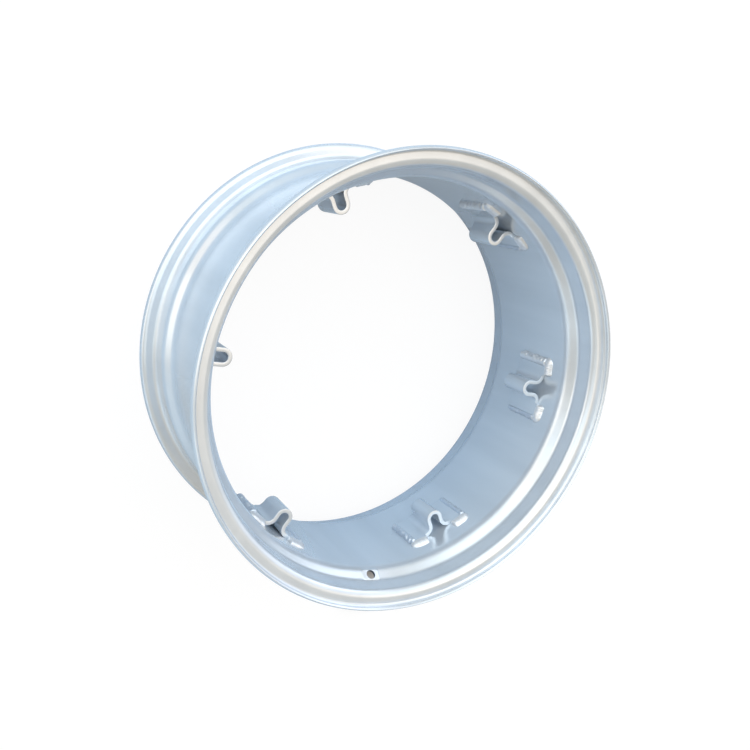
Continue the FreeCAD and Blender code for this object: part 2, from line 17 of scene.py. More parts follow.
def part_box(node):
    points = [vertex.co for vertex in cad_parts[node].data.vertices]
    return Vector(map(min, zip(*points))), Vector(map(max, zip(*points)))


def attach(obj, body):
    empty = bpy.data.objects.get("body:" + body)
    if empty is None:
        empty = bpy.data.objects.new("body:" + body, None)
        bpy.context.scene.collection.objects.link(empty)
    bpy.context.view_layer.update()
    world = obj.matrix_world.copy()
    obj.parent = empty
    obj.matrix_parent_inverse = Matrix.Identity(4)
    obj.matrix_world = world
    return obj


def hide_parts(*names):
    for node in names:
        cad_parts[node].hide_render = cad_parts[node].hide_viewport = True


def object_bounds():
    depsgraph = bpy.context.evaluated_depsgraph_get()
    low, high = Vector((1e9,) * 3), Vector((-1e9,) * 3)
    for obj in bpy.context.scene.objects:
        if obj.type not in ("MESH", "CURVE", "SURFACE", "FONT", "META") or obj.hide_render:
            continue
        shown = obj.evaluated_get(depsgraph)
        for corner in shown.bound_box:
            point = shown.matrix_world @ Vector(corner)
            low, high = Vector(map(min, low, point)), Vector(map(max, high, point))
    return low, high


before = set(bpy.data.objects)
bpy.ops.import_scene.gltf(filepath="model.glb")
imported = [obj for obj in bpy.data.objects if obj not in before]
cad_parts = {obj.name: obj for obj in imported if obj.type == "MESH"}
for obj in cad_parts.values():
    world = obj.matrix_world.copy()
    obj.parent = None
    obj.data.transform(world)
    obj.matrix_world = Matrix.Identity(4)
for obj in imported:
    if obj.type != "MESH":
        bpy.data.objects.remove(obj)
cad_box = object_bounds()

bl_info = {
    "name": "Tractor Wheel Rim",
    "version": (1, 0, 0),
    "blender": (4, 5, 0),
    "location": "View3D > Sidebar > Wheel Rim",
    "description": "Models a welded tractor wheel rim with its bolt loops, paint and studio",
    "category": "Add Mesh",
}

BODY = "root"
LOOP_COUNT = 6
LOOP_STEP = math.tau / LOOP_COUNT
MM = 0.001
_, rim_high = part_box("rim")
loop_low, loop_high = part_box("loop_1")
CREST_RADIUS = round(rim_high.x, 4)
LOOP_FRONT = round(loop_high.z, 4)
FOOT_LENGTH = round(loop_high.z - loop_low.z, 4)
# wheel axis to the inside of the well
WELL_INSIDE = 0.332
# points closer than this are one
SAME = 1e-6
MERGE = 1e-5


def length(name, description, default):
    return FloatProperty(name=name, description=description, default=default, unit="LENGTH", precision=4)


def angle(name, description, degrees):
    return FloatProperty(name=name, description=description, default=math.radians(degrees), subtype="ANGLE")


def fraction(name, description, default):
    return FloatProperty(name=name, description=description, default=default, min=0.0, max=1.0)


def colour(name, description, default):
    return FloatVectorProperty(
        name=name, description=description, default=default, subtype="COLOR", size=3, min=0.0, max=1.0
    )


class RimSizes(bpy.types.PropertyGroup):
    """Section of the rolled sheet and of the pad round the valve hole"""

    crest_radius: length("Crest radius", "Wheel axis to the crest of the flange", CREST_RADIUS)
    flange_height: length("Flange height", "Bead seat to the crest of the flange", 0.0254)
    half_gap: length("Half gap", "Middle of the rim to a flange face", 0.1524)
    thickness: length("Sheet", "Thickness of the rim's sheet", 0.005)
    curl_radius: length("Curl", "Radius of the curled edge, tyre side", 0.010)
    curl_overrun: angle("Curl overrun", "How far the curl goes on past its crest", 55.0)
    heel_radius: length("Heel", "Radius between bead seat and flange", 0.008)
    seat_width: length("Seat", "Flange face to the shoulder", 0.034)
    seat_taper: angle("Taper", "Slant of the bead seat", 5.0)
    slope_angle: angle("Slope", "Slant of the slope down to the well", 40.0)
    shoulder_radius: length("Shoulder", "Radius between bead seat and slope", 0.022)
    well_radius: length("Well radius", "Wheel axis to the well, tyre side", 0.337)
    well_corner: length("Well corner", "Radius between slope and well", 0.024)
    edge_round: length("Edge rounding", "Rounding of the sheet's cut edge", 0.0007)
    pad_length: length("Pad length", "Flat pad round the valve hole, round the rim", 0.031)
    pad_height: length("Pad height", "Flat pad, up the slope", 0.018)
    pad_corner: length("Pad corner", "Corner radius of the flat pad", 0.004)
    pad_step: length("Pad step", "How far the pad stands in from the slope", 0.0015)
    pad_draft: angle("Pad draft", "How far the pad's sides lean", 50.0)
    valve_radius: length("Valve hole", "Radius of the valve hole", 0.0079)
    turns: IntProperty(name="Segments", description="Steps round the rim", default=240)


class LoopSizes(bpy.types.PropertyGroup):
    """A bolt loop, bent from a shaped strip"""

    thickness: length("Strip", "Thickness of the strip", 0.0070)
    eye_radius: length("Eye", "Inside radius of the crown", 0.0083)
    eye_distance: length("Eye distance", "Wheel axis to the middle of the eye", 0.303)
    bend_radius: length("Bend", "Inside radius between leg and foot", 0.010)
    half_span: length("Half span", "Middle of the loop to a foot's end, straight across", 0.0531)
    front: length("Front edge", "Height of the feet's front edges above the rim's middle", LOOP_FRONT)
    foot_length: length("Foot length", "Length along the wheel axis at the feet", FOOT_LENGTH)
    crown_length: length("Crown length", "Length along the wheel axis at the crown", 0.061)
    setback: length("Set-back", "How far the crown's front edge stands back from the feet's", 0.0066)
    half_notch: length("Half notch", "Middle of the loop to the step in its front edge", 0.028)
    flare_end: length("Flare end", "Distance from the axis where the legs reach full length", 0.320)
    edge_round: length("Edge rounding", "Rounding of the strip's cut edges", 0.0004)


class WeldSizes(bpy.types.PropertyGroup):
    """Fillet weld beads and the spatter beside them"""

    front_leg: length("Front leg", "Front bead, along the wheel axis", 0.0135)
    front_rise: length("Front rise", "Height of the front bead above the well", 0.0085)
    front_overlap: length("Front overlap", "How far the front bead lies over the foot", 0.0018)
    front_tail: length("Front tail", "How far the front bead runs on past the foot", 0.0105)
    end_leg: length("End leg", "End bead, round the rim from the foot's end", 0.0080)
    end_rise: length("End rise", "Height of the end bead above the well", 0.0095)
    ripple_pitch: length("Ripple pitch", "Distance from ripple to ripple", 0.0034)
    ripple_depth: length("Ripple depth", "Height of the ripples", 0.0010)
    roughness: length("Unevenness", "How far a bead wanders", 0.0012)


class PaintLook(bpy.types.PropertyGroup):
    """Silver paint"""

    silver: colour("Silver", "Colour of the paint", (0.80, 0.86, 0.93))
    shade: colour("Shade", "Colour where the paint is thin", (0.61, 0.66, 0.72))
    # the front beads' colours are lighter copies of the silver: painted light, for how brightly the beads
    # catch the light
    painted_light_weld_silver: colour("Front weld silver", "Colour of the paint on the front beads", (0.90, 0.92, 0.95))
    painted_light_weld_streak: colour("Front weld shade", "Colour there where the paint is thin", (0.78, 0.81, 0.86))
    # the end beads' colours are darker, bluer copies of the silver: painted shade, for bead faces turned
    # from the light
    painted_shade_end_silver: colour("End weld silver", "Colour of the paint on the rough end beads", (0.71, 0.79, 0.89))
    painted_shade_end_streak: colour("End weld shade", "Colour there where the paint is thin", (0.57, 0.64, 0.74))
    roughness: fraction("Roughness", "Blur of the metal flakes", 0.26)
    metallic: fraction("Metallic", "Share of metal flakes", 0.6)
    coat: fraction("Clear coat", "Weight of the clear gloss", 0.5)
    coat_roughness: fraction("Coat roughness", "Blur of the clear gloss", 0.16)


class StudioLook(bpy.types.PropertyGroup):
    """Camera and floor"""

    lens: FloatProperty(name="Lens", description="Focal length in millimetres", default=40.895)
    camera_place: FloatVectorProperty(
        name="Camera",
        description="Where the camera stands",
        default=(-0.7362, 0.2420, 1.2891),
        subtype="TRANSLATION",
    )
    floor_size: length("Floor", "Side of the floor", 30.0)


# Helpers for modelling by hand


def deselect_all():
    if bpy.context.object and bpy.context.object.mode != "OBJECT":
        bpy.ops.object.mode_set(mode="OBJECT")
    bpy.ops.object.select_all(action="DESELECT")


def name_active(name):
    piece = bpy.context.object
    piece.name = name
    piece.data.name = name
    return piece


def apply_place():
    bpy.ops.object.transform_apply(location=True, rotation=True, scale=True)


def edit_mode():
    bpy.ops.object.mode_set(mode="EDIT")


def object_mode():
    bpy.ops.object.mode_set(mode="OBJECT")


def select_edges(piece, wanted):
    """Select the edges whose two ends both pass the test, and nothing else."""
    bpy.ops.mesh.select_all(action="DESELECT")
    bpy.ops.mesh.select_mode(type="EDGE")
    mesh = bmesh.from_edit_mesh(piece.data)
    for edge in mesh.edges:
        edge.select_set(all(wanted(vertex.co) for vertex in edge.verts))
    bmesh.update_edit_mesh(piece.data)


def select_faces(piece, wanted):
    """Select the faces whose middle passes the test, and nothing else."""
    bpy.ops.mesh.select_all(action="DESELECT")
    bpy.ops.mesh.select_mode(type="FACE")
    mesh = bmesh.from_edit_mesh(piece.data)
    for face in mesh.faces:
        face.select_set(wanted(face.calc_center_median()))
    bmesh.update_edit_mesh(piece.data)


def select_points(piece, wanted):
    """Select the points that pass the test, and nothing else."""
    bpy.ops.mesh.select_all(action="DESELECT")
    bpy.ops.mesh.select_mode(type="VERT")
    mesh = bmesh.from_edit_mesh(piece.data)
    for vertex in mesh.verts:
        vertex.select_set(wanted(vertex.co))
    bmesh.update_edit_mesh(piece.data)


def pull(step, times=1):
    """Extrude what is selected along a step, in equal parts."""
    for _ in range(times):
        bpy.ops.mesh.extrude_region_move(TRANSFORM_OT_translate={"value": Vector(step) / times})


def swing(centre, axis, turn, steps):
    """Extrude what is selected round an axis. A positive turn follows the right-hand rule."""
    bpy.ops.mesh.spin(steps=steps, angle=-turn, center=centre, axis=axis)


def apply_modifier(piece, kind, **settings):
    modifier = piece.modifiers.new(kind.title(), kind)
    for name, value in settings.items():
        setattr(modifier, name, value)
    bpy.ops.object.modifier_apply(modifier=modifier.name)


def face_outwards():
    edit_mode()
    bpy.ops.mesh.select_all(action="SELECT")
    bpy.ops.mesh.normals_make_consistent(inside=False)
    object_mode()


def copy_turned(piece, name, turn):
    """A copy with its own mesh, turned round the wheel's axis."""
    deselect_all()
    piece.select_set(True)
    bpy.context.view_layer.objects.active = piece
    bpy.ops.object.duplicate(linked=False)
    copy = name_active(name)
    copy.rotation_euler = (0.0, 0.0, turn)
    bpy.ops.object.transform_apply(location=False, rotation=True, scale=False)
    return copy


def dress(piece, material, slot, *nodes):
    """Give a finished piece its material, and let it stand for these solids."""
    piece.data.materials.clear()
    piece.data.materials.append(material)
    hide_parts(*nodes)
    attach(piece, BODY)


# The rim


def sheet_stretches(rim):
    """The sheet's way from the middle of the well to its cut edge, on the tyre side.

    Each stretch is (kind, length or radius, turn). A bend with a positive turn leans outwards, with
    its centre on the tyre side.
    """
    bead_radius = rim.crest_radius - rim.flange_height
    taper, slope = rim.seat_taper, rim.slope_angle
    shoulder_level = rim.half_gap - rim.seat_width
    shoulder_height = bead_radius - rim.seat_width * math.tan(taper)
    well_level = shoulder_level - (shoulder_height - rim.well_radius) / math.tan(slope)
    well_reach = rim.well_corner * math.tan(slope / 2)
    shoulder_reach = rim.shoulder_radius * math.tan((slope - taper) / 2)
    heel_reach = rim.heel_radius * math.tan((math.pi / 2 - taper) / 2)
    slope_length = (shoulder_height - rim.well_radius) / math.sin(slope) - well_reach - shoulder_reach
    seat_length = rim.seat_width / math.cos(taper) - shoulder_reach - heel_reach
    wall_length = rim.flange_height - rim.curl_radius - heel_reach
    return [
        ("straight", well_level - well_reach, 0.0),
        ("bend", rim.well_corner, slope),
        ("straight", slope_length, 0.0),
        ("bend", rim.shoulder_radius, taper - slope),
        ("straight", seat_length, 0.0),
        ("bend", rim.heel_radius, math.pi / 2 - taper),
        ("straight", wall_length, 0.0),
        ("bend", rim.curl_radius, -math.pi / 2 - rim.curl_overrun),
    ]


BEND_STEP = math.radians(6)
ALONG_Y = (0.0, 1.0, 0.0)
ALONG_Z = (0.0, 0.0, 1.0)


def model_sheet(rim):
    """Sweep the sheet's thickness along its section, mirror it and spin it round the axis."""
    stretches = sheet_stretches(rim)
    half_well = stretches[0][1]
    deselect_all()
    middle = (rim.well_radius - rim.thickness / 2, 0.0, half_well / 2)
    bpy.ops.mesh.primitive_plane_add(size=1.0, location=middle, rotation=(math.pi / 2, 0.0, 0.0))
    piece = name_active("rim_visual")
    piece.scale = (rim.thickness, half_well, 1.0)
    apply_place()
    edit_mode()
    pen, heading = Vector((rim.well_radius, 0.0, half_well)), 0.0
    select_edges(piece, lambda co: abs(co.z - half_well) < SAME)
    for kind, size, turn in stretches[1:]:
        if kind == "straight":
            step = Vector((math.sin(heading), 0.0, math.cos(heading))) * size
            pull(step)
            pen = pen + step
            continue
        side = math.copysign(size, turn)
        centre = pen + Vector((math.cos(heading), 0.0, -math.sin(heading))) * side
        swing(centre, ALONG_Y, turn, math.ceil(abs(turn) / BEND_STEP))
        pen = centre + Matrix.Rotation(turn, 3, "Y") @ (pen - centre)
        heading += turn
    # round the two corners of the cut edge
    lip = pen
    select_points(piece, lambda co: on_cut_edge(co, lip, heading, rim.thickness))
    bpy.ops.mesh.bevel(offset=rim.edge_round, segments=2, affect="VERTICES")
    object_mode()
    apply_modifier(piece, "MIRROR", use_axis=(False, False, True), use_clip=True, merge_threshold=MERGE)
    edit_mode()
    bpy.ops.mesh.select_all(action="SELECT")
    bpy.ops.mesh.dissolve_faces()
    bpy.ops.mesh.delete(type="ONLY_FACE")
    bpy.ops.mesh.select_all(action="SELECT")
    swing((0.0, 0.0, 0.0), ALONG_Z, math.tau, rim.turns)
    bpy.ops.mesh.select_all(action="SELECT")
    bpy.ops.mesh.remove_doubles(threshold=SAME)
    object_mode()
    face_outwards()
    return piece


def on_cut_edge(place, lip, heading, thickness):
    """Whether a point lies on the cut edge, which starts at the lip and crosses the heading."""
    ahead = Vector((math.sin(heading), 0.0, math.cos(heading)))
    away = place - lip
    return away.length < thickness * 1.01 and abs(away.dot(ahead)) < SAME


def valve_place(rim, depth):
    """A frame on the slope at -Y, this far in from its tyre side, with its Z towards the axis."""
    bead_radius = rim.crest_radius - rim.flange_height
    shoulder_height = bead_radius - rim.seat_width * math.tan(rim.seat_taper)
    radius = (shoulder_height + rim.well_radius) / 2
    drop = (shoulder_height - rim.well_radius) / 2 / math.tan(rim.slope_angle)
    level = rim.half_gap - rim.seat_width - drop
    inwards = Vector((0.0, math.cos(rim.slope_angle), math.sin(rim.slope_angle)))
    lean = Matrix.Rotation(rim.slope_angle - math.pi / 2, 4, "X")
    return Matrix.Translation(Vector((0.0, -radius, level)) + inwards * depth) @ lean


CORNER_STEPS = 6
PAD_EDGE_SHARE = 0.6
HOLE_SIDES = 64


def model_pad_tool(rim, name, depth, height):
    """A rounded rectangle with leaning sides, that widens away from its flat face."""
    deselect_all()
    bpy.ops.mesh.primitive_plane_add(size=1.0)
    tool = name_active(name)
    tool.scale = (rim.pad_length, rim.pad_height, 1.0)
    apply_place()
    edit_mode()
    bpy.ops.mesh.select_all(action="SELECT")
    bpy.ops.mesh.bevel(offset=rim.pad_corner, segments=CORNER_STEPS, affect="VERTICES")
    bpy.ops.mesh.select_all(action="SELECT")
    pull((0.0, 0.0, -height))
    spread = 2 * height * math.tan(rim.pad_draft)
    wider = (1 + spread / rim.pad_length, 1 + spread / rim.pad_height, 1.0)
    bpy.ops.transform.resize(value=wider, center_override=(0.0, 0.0, 0.0))
    select_faces(tool, lambda co: abs(co.z) < SAME)
    bpy.ops.mesh.bevel(offset=rim.pad_step * PAD_EDGE_SHARE, segments=3, affect="EDGES")
    object_mode()
    tool.matrix_world = valve_place(rim, depth)
    apply_place()
    face_outwards()
    return tool


def model_hole_tool(rim):
    """A drill that goes well past both sides of the sheet."""
    deselect_all()
    bpy.ops.mesh.primitive_cylinder_add(
        vertices=HOLE_SIDES, radius=rim.valve_radius, depth=rim.thickness * 4
    )
    tool = name_active("valve_hole_tool")
    tool.matrix_world = valve_place(rim, 0.0)
    apply_place()
    return tool


def combine(piece, tool, operation):
    """Join or cut a tool into a piece, and throw the tool away."""
    deselect_all()
    piece.select_set(True)
    bpy.context.view_layer.objects.active = piece
    apply_modifier(piece, "BOOLEAN", object=tool, operation=operation, solver="EXACT")
    bpy.data.objects.remove(tool, do_unlink=True)


RIM_SMOOTH = math.radians(32)


class RIM_OT_model_rim(bpy.types.Operator):
    """Model the rolled rim with its pressed pad and valve hole"""

    bl_idname = "rim.model_rim"
    bl_label = "Rim"

    def execute(self, context):
        rim = context.scene.rim_sizes
        piece = model_sheet(rim)
        pad_height = rim.thickness / 2 + rim.pad_step
        pad = model_pad_tool(rim, "valve_pad_tool", rim.thickness + rim.pad_step, pad_height)
        combine(piece, pad, "UNION")
        dent = model_pad_tool(rim, "valve_dent_tool", rim.pad_step, rim.pad_step * 2)
        combine(piece, dent, "DIFFERENCE")
        combine(piece, model_hole_tool(rim), "DIFFERENCE")
        bpy.ops.object.shade_smooth_by_angle(angle=RIM_SMOOTH)
        # the valve hole's inside gets a painted shade
        place = valve_place(rim, 0.0)
        bore = (place.translation, place.to_3x3().col[2], rim.valve_radius)
        look = context.scene.paint_look
        paint = paint_material("silver_rim_paint", look, look.silver, look.shade, bore)
        dress(piece, paint, "rim_paint", "rim")
        return {"FINISHED"}


# The bolt loops

CROWN_STEPS = 16
LEG_STEPS = 8
LOOP_BEND_STEPS = 14
NOTCH_STEPS = 2
FOOT_STEPS = 6
LOOP_SHARP = math.radians(50)
LOOP_SMOOTH = math.radians(40)


def foot_angles(loop):
    """Where a foot starts and ends, round the wheel's axis from the middle of the loop."""
    side = loop.eye_radius + loop.thickness + loop.bend_radius
    start = math.asin(side / (WELL_INSIDE - loop.thickness - loop.bend_radius))
    return start, math.asin(loop.half_span / WELL_INSIDE)


def back_edge(loop, distance):
    """Height of the blank's back edge at this distance from the wheel's axis."""
    crown = loop.front - loop.setback - loop.crown_length
    foot = loop.front - loop.foot_length
    fall = crown - foot
    reach = loop.flare_end - loop.eye_distance
    radius = (reach**2 + fall**2) / (2 * fall)
    along = min(max(distance - loop.eye_distance, 0.0), reach)
    return crown - radius + math.sqrt(radius**2 - along**2)


def model_loop(loop):
    """Sweep the strip's end face round the crown, down a leg and along a foot, then mirror it."""
    start, end = foot_angles(loop)
    crown_middle = loop.eye_distance - loop.eye_radius - loop.thickness / 2
    back, crown_front = loop.front - loop.foot_length, loop.front - loop.setback
    deselect_all()
    middle = (crown_middle, 0.0, (crown_front + back) / 2)
    bpy.ops.mesh.primitive_plane_add(size=1.0, location=middle, rotation=(math.pi / 2, 0.0, 0.0))
    piece = name_active("loop_1_visual")
    piece.scale = (loop.thickness, crown_front - back, 1.0)
    apply_place()
    side = loop.eye_radius + loop.thickness + loop.bend_radius
    bend_centre = Vector(((WELL_INSIDE - loop.thickness - loop.bend_radius) * math.cos(start), side, 0.0))
    edit_mode()
    bpy.ops.mesh.select_all(action="SELECT")
    notch = math.asin(loop.half_notch / WELL_INSIDE)
    swing((loop.eye_distance, 0.0, 0.0), ALONG_Z, -math.pi / 2, CROWN_STEPS)
    pull((bend_centre.x - loop.eye_distance, 0.0, 0.0), LEG_STEPS)
    swing(bend_centre, ALONG_Z, math.pi / 2 + start, LOOP_BEND_STEPS)
    swing((0.0, 0.0, 0.0), ALONG_Z, notch - start, NOTCH_STEPS)
    swing((0.0, 0.0, 0.0), ALONG_Z, end - notch, FOOT_STEPS)
    select_faces(piece, lambda co: abs(co.y) < SAME)
    bpy.ops.mesh.delete(type="FACE")
    object_mode()
    apply_modifier(piece, "MIRROR", use_axis=(False, True, False), use_clip=True, merge_threshold=MERGE)
    for vertex in piece.data.vertices:
        if abs(vertex.co.z - back) < SAME:
            vertex.co.z = back_edge(loop, vertex.co.x)
    # step the feet forward of the crown
    edit_mode()
    select_faces(
        piece, lambda co: abs(co.z - crown_front) < SAME and abs(math.atan2(co.y, co.x)) > notch
    )
    pull((0.0, 0.0, loop.setback))
    object_mode()
    face_outwards()
    apply_modifier(
        piece, "BEVEL", width=loop.edge_round, segments=3, limit_method="ANGLE", angle_limit=LOOP_SHARP
    )
    bpy.ops.object.shade_smooth_by_angle(angle=LOOP_SMOOTH)
    return piece


class RIM_OT_model_loops(bpy.types.Operator):
    """Model one bolt loop and copy it round the rim"""

    bl_idname = "rim.model_loops"
    bl_label = "Bolt loops"

    def execute(self, context):
        look = context.scene.paint_look
        paint = paint_material("silver_loop_paint", look, look.silver, look.shade)
        first = model_loop(context.scene.loop_sizes)
        loops = [first]
        for number in range(1, LOOP_COUNT):
            loops.append(copy_turned(first, f"loop_{number + 1}_visual", number * LOOP_STEP))
        for number, loop in enumerate(loops, start=1):
            dress(loop, paint, "loop_paint", f"loop_{number}")
        return {"FINISHED"}


# The weld beads

# how far each end bead lies over its foot, in millimetres
END_OVERLAPS = {
    "1a": 6.5, "1b": 2.0, "2a": 6.0, "2b": 3.0, "3a": 4.0, "3b": 5.0,
    "4a": 5.0, "4b": 3.0, "5a": 3.5, "5b": 4.5, "6a": 2.5, "6b": 2.0,
}
# the end beads that take the front beads' lighter paint: painted light, for the two end beads that catch the
# light
PAINTED_LIGHT_ENDS = ("1a", "2a")
# sets the end beads' noise apart from the front beads'
END_SEED = 20

FACE_STEPS = 9
OVERLAP_STEPS = 5
SINK = 0.5 * MM
# where points lie on a bead's hidden foot, as shares of its leg
HIDDEN_SHARES = (0.2, 0.4, 0.6, 0.8, 0.97)
# squares of a bead's least fullness at its start and at its end
LEAST_START = 0.02
LEAST_END = 0.004

RINGS_PER_RIPPLE = 8
MOST_RINGS = 100
# how far a ripple trails in the middle of the face, in pitches, and how far noise shifts it
RIPPLE_BOW = 0.7
RIPPLE_SHIFT = 0.35
LUMP_SHARE = 0.7
# grain of the noise that shifts ripples, makes lumps and moves the bead's edge
SHIFT_GRAIN = 3 * MM
LUMP_GRAIN = 2.8 * MM
EDGE_GRAIN = 8 * MM
WELD_SMOOTH = math.radians(70)

# how flat or round each kind of bead is, and how uneven
FRONT_SWELL = 1.35
FRONT_UNEVEN = 0.4
END_SWELL = 1.9
END_UNEVEN = 1.6


def bead_section(leg, rise, overlap, swell, foot):
    """Outline of a bead's face: (out along the well, up the foot's edge), from the well over the foot.

    It rises over the leg and falls back to the foot's top over the overlap. A swell of 1 makes the
    first part flat and 2 makes it round.
    """
    outline = []
    for number in range(FACE_STEPS):
        turn = number / FACE_STEPS * math.pi / 2
        outline.append(Vector((math.cos(turn) ** (2 / swell) * leg, math.sin(turn) ** (2 / swell) * rise)))
    for number in range(OVERLAP_STEPS + 1):
        share = number / OVERLAP_STEPS
        outline.append(Vector((-overlap * share, foot + (rise - foot) * math.cos(share * math.pi / 2))))
    return outline


def hidden_section(leg, overlap, foot):
    """The rest of the outline, sunk into the foot and the well."""
    points = [(-overlap, foot - SINK), (-SINK, foot - 2 * SINK), (-SINK, -SINK)]
    points += [(leg * share, -SINK) for share in HIDDEN_SHARES]
    return [Vector(point) for point in points]


def bead_fullness(along, run, blunt, tail):
    """How much of its section a bead has here: round at the start, and round or drawn out at the end."""
    fullness = 1.0
    if along < blunt:
        fullness = math.sqrt(max(LEAST_START, 1 - (1 - along / blunt) ** 2))
    left = run - along
    if left < tail:
        fullness = min(fullness, math.sqrt(max(LEAST_END, 1 - (1 - left / tail) ** 2)))
    return fullness


def model_bead(name, run, section, weld, seed, uneven, blunt, tail):
    """A straight bead. X runs along it, Y out along the well and Z up the foot's edge.

    It starts as a cylinder of many rings. Each ring becomes a fillet's section, drawn in towards
    the bead's ends, with ripples across its face and an uneven width.
    """
    leg, rise, overlap, swell, foot = section
    face = bead_section(leg, rise, overlap, swell, foot)
    outline = face + hidden_section(leg, overlap, foot)
    rings = min(MOST_RINGS, round(run / (weld.ripple_pitch / RINGS_PER_RIPPLE)))
    deselect_all()
    bpy.ops.mesh.primitive_cylinder_add(
        vertices=len(outline), radius=1.0, depth=1.0, rotation=(0.0, math.pi / 2, 0.0)
    )
    piece = name_active(name)
    apply_place()
    edit_mode()
    mesh = bmesh.from_edit_mesh(piece.data)
    for edge in mesh.edges:
        edge.select_set(abs(edge.verts[0].co.x - edge.verts[1].co.x) > 0.5)
    bmesh.update_edit_mesh(piece.data)
    bpy.ops.mesh.subdivide(number_cuts=rings)
    object_mode()
    outwards = Vector((rise, leg)).normalized()
    for vertex in piece.data.vertices:
        along = (vertex.co.x + 0.5) * run
        turn = math.atan2(vertex.co.z, vertex.co.y) % math.tau
        place = round(turn / math.tau * len(outline)) % len(outline)
        point = outline[place].copy()
        if place < len(face):
            across = place / (len(face) - 1) * 2 - 1
            inner = 1 - across**4
            crest = (along - weld.ripple_pitch * RIPPLE_BOW * (1 - across**2)) / weld.ripple_pitch
            crest += RIPPLE_SHIFT * uneven * noise.noise(Vector((along / SHIFT_GRAIN, across, seed * 1.7)))
            ripple = abs(math.sin(math.pi * crest)) * weld.ripple_depth * min(uneven, 1.0)
            lump = noise.noise(Vector((along / LUMP_GRAIN, across * 1.8, seed * 5.3)))
            lump = lump * weld.roughness * uneven
            wander = noise.noise(Vector((along / EDGE_GRAIN, seed * 3.1, 0.0))) * weld.roughness * 2 * uneven
            lift = (ripple + lump * LUMP_SHARE) * inner
            point = point + outwards * lift + Vector((wander * (1 - across) / 2, 0.0))
        point = point * bead_fullness(along, run, blunt, tail)
        vertex.co = Vector((along, point.x, point.y))
    face_outwards()
    bpy.ops.object.shade_smooth_by_angle(angle=WELD_SMOOTH)
    return piece


def add_spatter(piece, spots):
    """Small drops of spatter, joined to a weld. Each spot is (place, radius)."""
    deselect_all()
    drops = []
    for place, radius in spots:
        bpy.ops.mesh.primitive_ico_sphere_add(subdivisions=2, radius=radius, location=place)
        drops.append(bpy.context.object)
    for drop in drops:
        drop.select_set(True)
    piece.select_set(True)
    bpy.context.view_layer.objects.active = piece
    bpy.ops.object.join()


def on_cylinder(radius, turn, level):
    return Vector((radius * math.cos(turn), radius * math.sin(turn), level))


def lay_bead(piece, place):
    """Lay a straight bead in the rim. place turns (along, out, up) into a point in the part's frame."""
    for vertex in piece.data.vertices:
        vertex.co = place(*vertex.co)
    face_outwards()


def model_front_bead(name, middle, side, loop, weld, seed):
    """The bead along a foot's front edge, from the notch to a tail past the foot's end."""
    notch = math.asin(loop.half_notch / WELL_INSIDE)
    _, end = foot_angles(loop)
    run = (end - notch) * WELL_INSIDE + weld.front_tail
    section = (weld.front_leg, weld.front_rise, weld.front_overlap, FRONT_SWELL, loop.thickness)
    blunt, tail = 0.35 * weld.front_leg, 1.35 * weld.front_tail
    bead = model_bead(name, run, section, weld, seed, FRONT_UNEVEN, blunt, tail)
    lay_bead(
        bead,
        lambda along, out, up: on_cylinder(
            WELL_INSIDE - up, middle + side * (notch + along / WELL_INSIDE), loop.front + out
        ),
    )
    return bead


def model_end_bead(name, middle, side, overlap, loop, weld, seed):
    """The rough bead along a foot's outer end, from the front bead to the foot's back edge."""
    _, end = foot_angles(loop)
    section = (weld.end_leg, weld.end_rise, overlap, END_SWELL, loop.thickness)
    blunt = 0.5 * weld.end_leg
    bead = model_bead(name, loop.foot_length, section, weld, seed, END_UNEVEN, blunt, blunt)
    lay_bead(
        bead,
        lambda along, out, up: on_cylinder(
            WELL_INSIDE - up, middle + side * (end + out / WELL_INSIDE), loop.front - along
        ),
    )
    return bead


SPATTER_SEED = 41
DROP_SINK = 0.1 * MM
DROPS_BESIDE_FOOT = 3
DROPS_ON_FOOT = 2


def spatter_spots(middle, side, loop, weld, draw):
    """Where drops lie: on the well beyond the end bead and above the front bead, and on the foot.

    The draws are angles in radians, heights in metres and radii in millimetres.
    """
    _, end = foot_angles(loop)
    spots = []
    for _ in range(DROPS_BESIDE_FOOT):
        turn = end + weld.end_leg / WELL_INSIDE + draw.uniform(0.006, 0.05)
        spots.append((turn, loop.front - draw.uniform(-0.01, 0.06), draw.uniform(0.4, 0.9)))
    for _ in range(DROPS_BESIDE_FOOT):
        turn = end - draw.uniform(-0.02, 0.06)
        spots.append((turn, loop.front + weld.front_leg + draw.uniform(0.004, 0.02), draw.uniform(0.4, 0.8)))
    drops = []
    for turn, level, size in spots:
        drops.append((on_cylinder(WELL_INSIDE - DROP_SINK, middle + side * turn, level), size * MM))
    for _ in range(DROPS_ON_FOOT):
        turn = end - draw.uniform(0.012, 0.03)
        level = loop.front - draw.uniform(0.012, 0.03)
        place = on_cylinder(WELL_INSIDE - loop.thickness - DROP_SINK, middle + side * turn, level)
        drops.append((place, draw.uniform(0.5, 1.0) * MM))
    return drops


